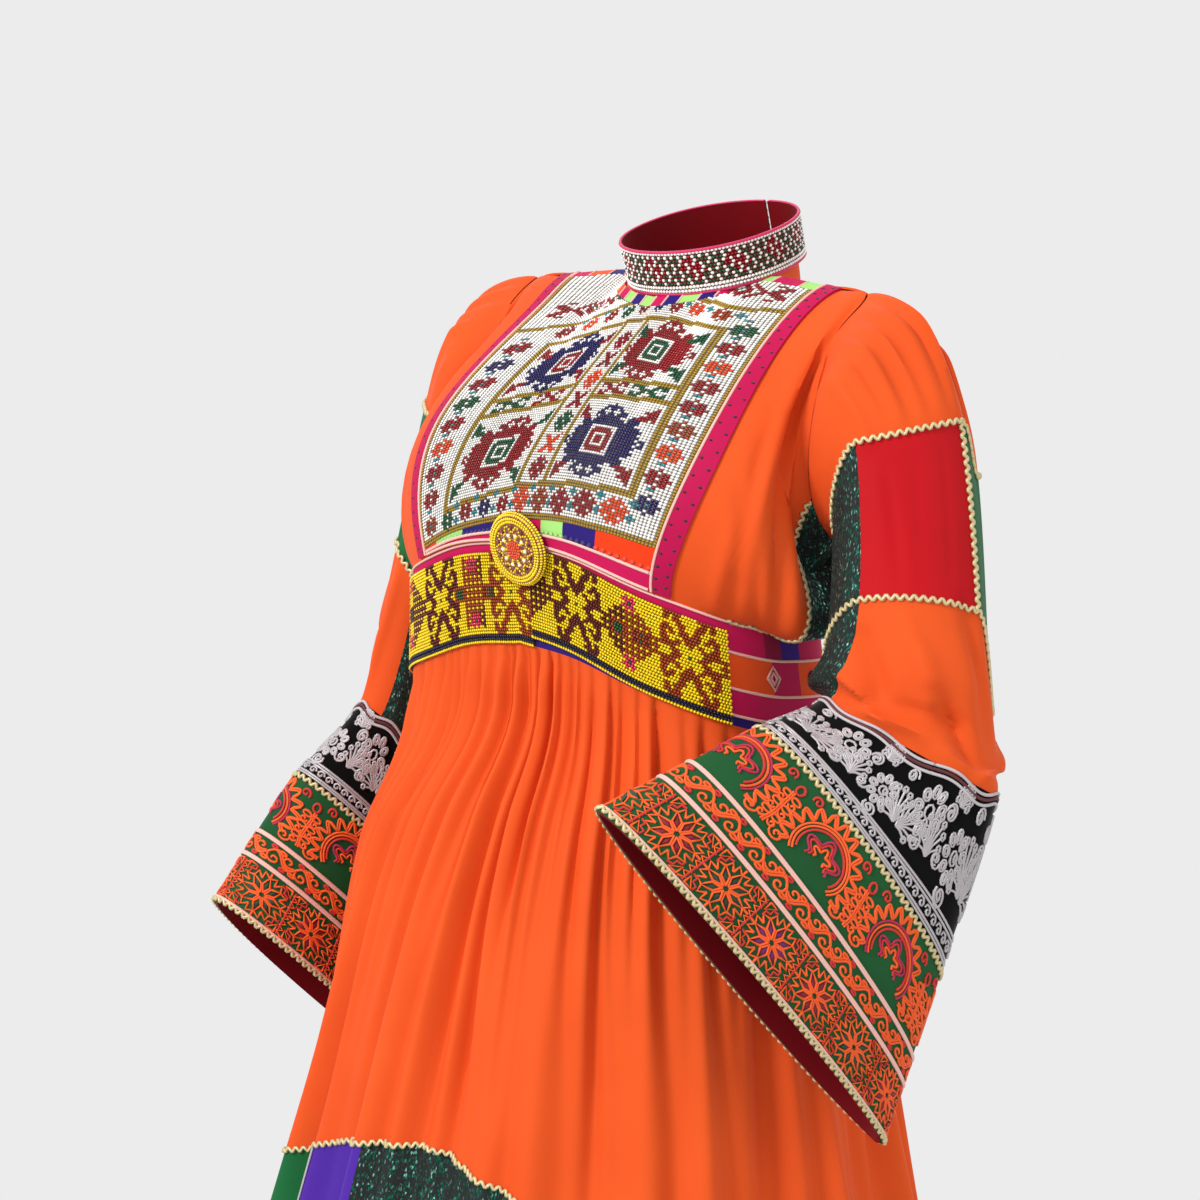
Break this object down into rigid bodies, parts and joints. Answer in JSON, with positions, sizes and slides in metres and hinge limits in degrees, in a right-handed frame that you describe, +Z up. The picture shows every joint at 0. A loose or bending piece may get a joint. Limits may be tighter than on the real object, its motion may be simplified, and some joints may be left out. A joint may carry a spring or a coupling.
{
  "type": "afghan dress",
  "caption": "Worn long-sleeved dress with a beaded bib, collar and belt, patched sleeves, bell cuffs and a gathered patched skirt.",
  "frame": {"origin": "centre of the neck base, where the wearer's shoulders carry the dress", "axes": "+Z up along the wearer, the front of the dress faces -Y, the wearer's left is +X"},
  "size_m": [0.8014, 0.7457, 1.3329],
  "materials": {
    "orange_cotton": "plain woven cotton, matt",
    "green_cotton": "plain woven cotton, matt",
    "red_cotton": "plain woven cotton, matt",
    "purple_cotton": "plain woven cotton, matt",
    "glitter_cloth": "black cloth with a fine teal glitter",
    "magenta_cotton": "plain woven cotton with pale piping",
    "white_beadwork": "glass seed beads on cloth",
    "collar_beadwork": "glass seed beads on cloth",
    "yellow_beadwork": "glass seed beads on cloth",
    "patched_cotton": "small patches of printed cotton",
    "embroidered_band": "embroidered cotton band",
    "black_velvet": "velvet couched with silver thread",
    "stitched_green": "green cotton covered in orange chain stitch",
    "red_lining": "plain lining cloth",
    "bead_clasp": "beads round a gilt disc"
  },
  "bodies": {
    "root": {"collar": "collar_beadwork", "bodice_front": "orange_cotton", "bodice_back": "orange_cotton", "side_gore_left": "glitter_cloth", "side_gore_right": "glitter_cloth", "bib": "white_beadwork", "bib_border_left": "magenta_cotton", "bib_border_right": "magenta_cotton", "patched_strip": "patched_cotton", "yoke_strip": "patched_cotton", "waistband": "embroidered_band", "belt_left": "yellow_beadwork", "belt_right": "yellow_beadwork", "clasp": "bead_clasp", "sleeve_cap_left": "orange_cotton", "sleeve_lower_left": "orange_cotton", "sleeve_red_left": "red_cotton", "sleeve_green_left": "green_cotton", "sleeve_glitter_left": "glitter_cloth", "cuff_velvet_left": "black_velvet", "cuff_green_left": "stitched_green", "cuff_vine_left": "stitched_green", "cuff_star_left": "stitched_green", "cuff_lining_left": "red_lining", "sleeve_cap_right": "orange_cotton", "sleeve_lower_right": "orange_cotton", "sleeve_red_right": "red_cotton", "sleeve_green_right": "green_cotton", "sleeve_glitter_right": "glitter_cloth", "cuff_velvet_right": "black_velvet", "cuff_green_right": "stitched_green", "cuff_vine_right": "stitched_green", "cuff_star_right": "stitched_green", "cuff_lining_right": "red_lining", "skirt_front_left": "orange_cotton", "skirt_back_left": "orange_cotton", "skirt_back_right": "orange_cotton", "skirt_front_right": "orange_cotton", "hem_glitter_front": "glitter_cloth", "hem_orange_left": "orange_cotton", "hem_red_left": "red_cotton", "hem_green_left": "green_cotton", "hem_purple_left": "purple_cotton", "hem_glitter_back": "glitter_cloth", "hem_orange_back": "orange_cotton", "hem_green_back": "green_cotton", "hem_purple_back": "purple_cotton", "hem_glitter_right": "glitter_cloth", "hem_red_right": "red_cotton", "hem_green_right": "green_cotton", "hem_purple_right": "purple_cotton"}
  },
  "joints": []
}
